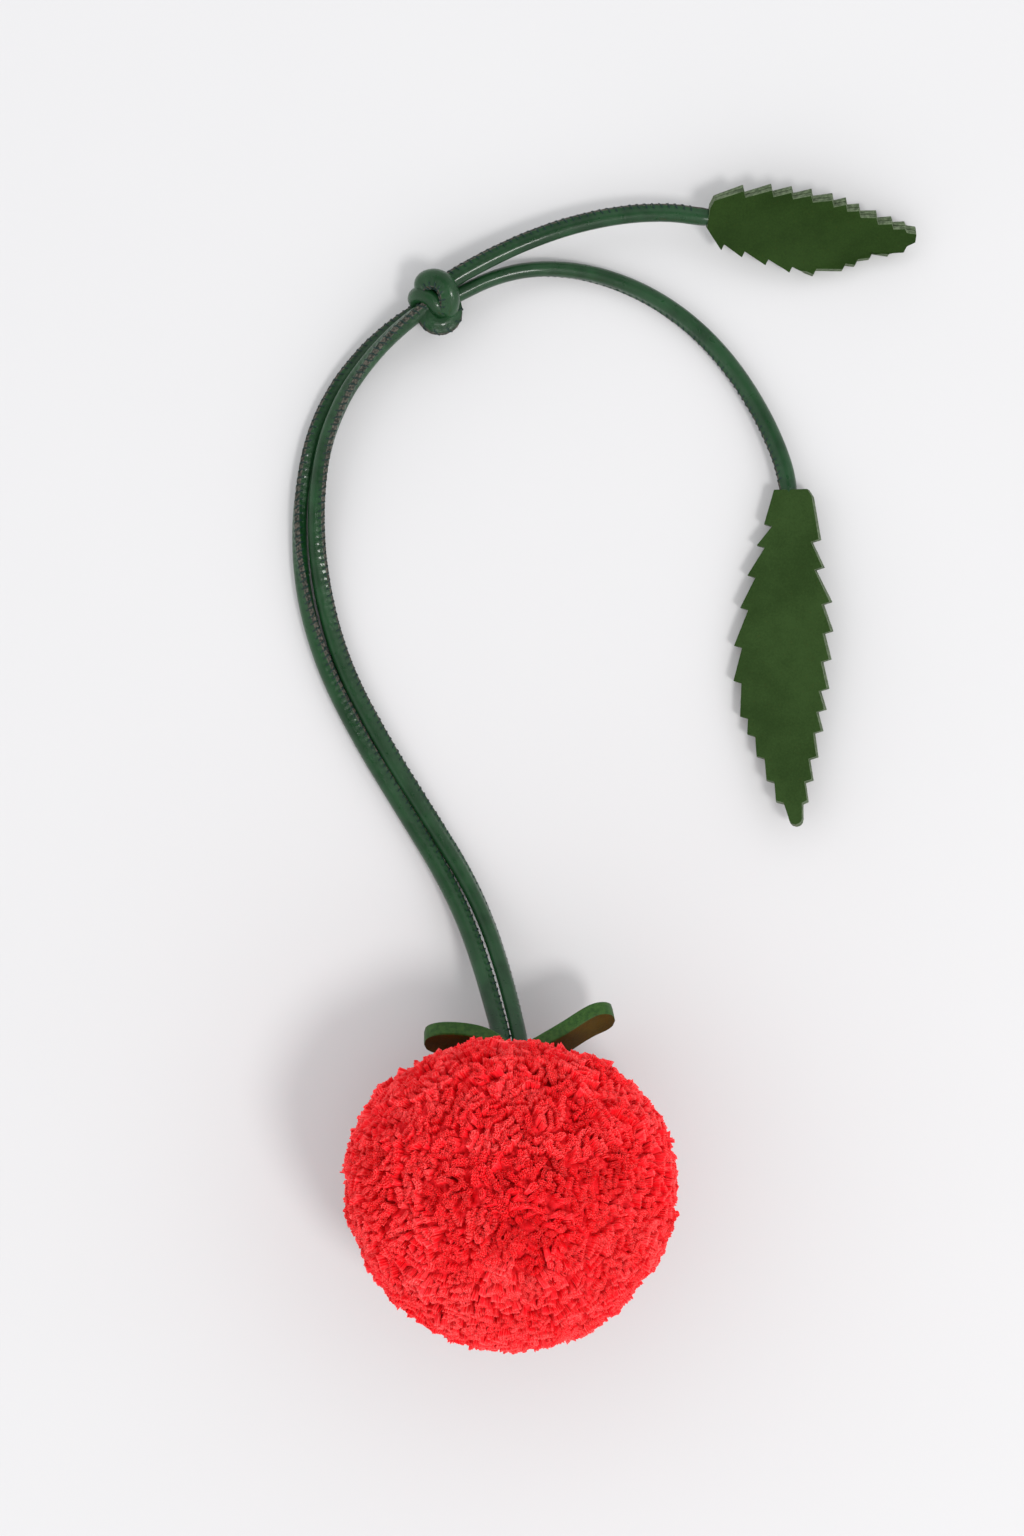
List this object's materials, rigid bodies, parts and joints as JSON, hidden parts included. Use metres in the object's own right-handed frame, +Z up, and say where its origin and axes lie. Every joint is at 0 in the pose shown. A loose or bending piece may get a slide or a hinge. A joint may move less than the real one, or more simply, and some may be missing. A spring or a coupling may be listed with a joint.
{
  "type": "raffia tomato charm",
  "caption": "Round tomato-shaped raffia pompom with a leather calyx, hung on a doubled leather cord that is knotted and ends in serrated leather leaves.",
  "frame": {"origin": "centre of the flat patch that the pompom rests on", "axes": "+Y from the pompom towards the knot, +Z up from the surface, +X to the right seen from above with the knot at the top"},
  "size_m": [0.1805, 0.3267, 0.0858],
  "materials": {
    "raffia": "satin",
    "binding_thread": "matte",
    "cord_leather": "semi-gloss",
    "calyx_leather": "satin",
    "leaf_leather": "matte"
  },
  "bodies": {
    "tomato": {"tuft_upper": "raffia", "tuft_lower": "raffia", "tuft_waist": "raffia", "binding_thread": "binding_thread", "cord_bight": "cord_leather", "calyx_centre": "calyx_leather"},
    "lobe_left": {"calyx_lobe_left": "calyx_leather"},
    "lobe_right": {"calyx_lobe_right": "calyx_leather"},
    "cord": {"cord_leg_left": "cord_leather", "cord_leg_right": "cord_leather", "cord_knot": "cord_leather"},
    "tail_a": {"cord_end_a": "cord_leather"},
    "tail_b": {"cord_end_b": "cord_leather"},
    "leaf_a": {"leaf_a_face_ply": "leaf_leather", "leaf_a_back_ply": "leaf_leather", "leaf_a_cord_tip": "cord_leather"},
    "leaf_b": {"leaf_b_face_ply": "leaf_leather", "leaf_b_back_ply": "leaf_leather", "leaf_b_cord_tip": "cord_leather"}
  },
  "joints": [
    {"name": "stem_lift", "type": "hinge", "parent": "tomato", "child": "cord", "pos_m": [0.0006, 0.0386, 0.0229], "axis": [1, 0, 0], "range_deg": [0, 45]},
    {"name": "lobe_left_flex", "type": "hinge", "parent": "tomato", "child": "lobe_left", "pos_m": [-0.00716, 0.03859, 0.02315], "axis": [0, -0.4226, -0.9063], "range_deg": [-4, 16], "stiffness_Nm_per_rad": 0.05},
    {"name": "lobe_right_flex", "type": "hinge", "parent": "tomato", "child": "lobe_right", "pos_m": [0.00912, 0.03833, 0.02327], "axis": [0, 0.4226, 0.9063], "range_deg": [-4, 16], "stiffness_Nm_per_rad": 0.05},
    {"name": "end_a_swing", "type": "hinge", "parent": "cord", "child": "tail_a", "pos_m": [-0.0168, 0.258, 0.0094], "axis": [0, 0, 1], "range_deg": [0, 12]},
    {"name": "end_b_swing", "type": "hinge", "parent": "cord", "child": "tail_b", "pos_m": [-0.0144, 0.2547, 0.0067], "axis": [0, 0, 1], "range_deg": [-12, 0]},
    {"name": "leaf_a_flap", "type": "hinge", "parent": "tail_a", "child": "leaf_a", "pos_m": [0.0564, 0.2757, 0.0092], "axis": [-0.0847, -0.9236, -0.3738], "range_deg": [0, 35]},
    {"name": "leaf_b_flap", "type": "hinge", "parent": "tail_b", "child": "leaf_b", "pos_m": [0.0809, 0.1982, 0.00495], "axis": [-0.9876, -0.0112, -0.1564], "range_deg": [0, 35]}
  ]
}
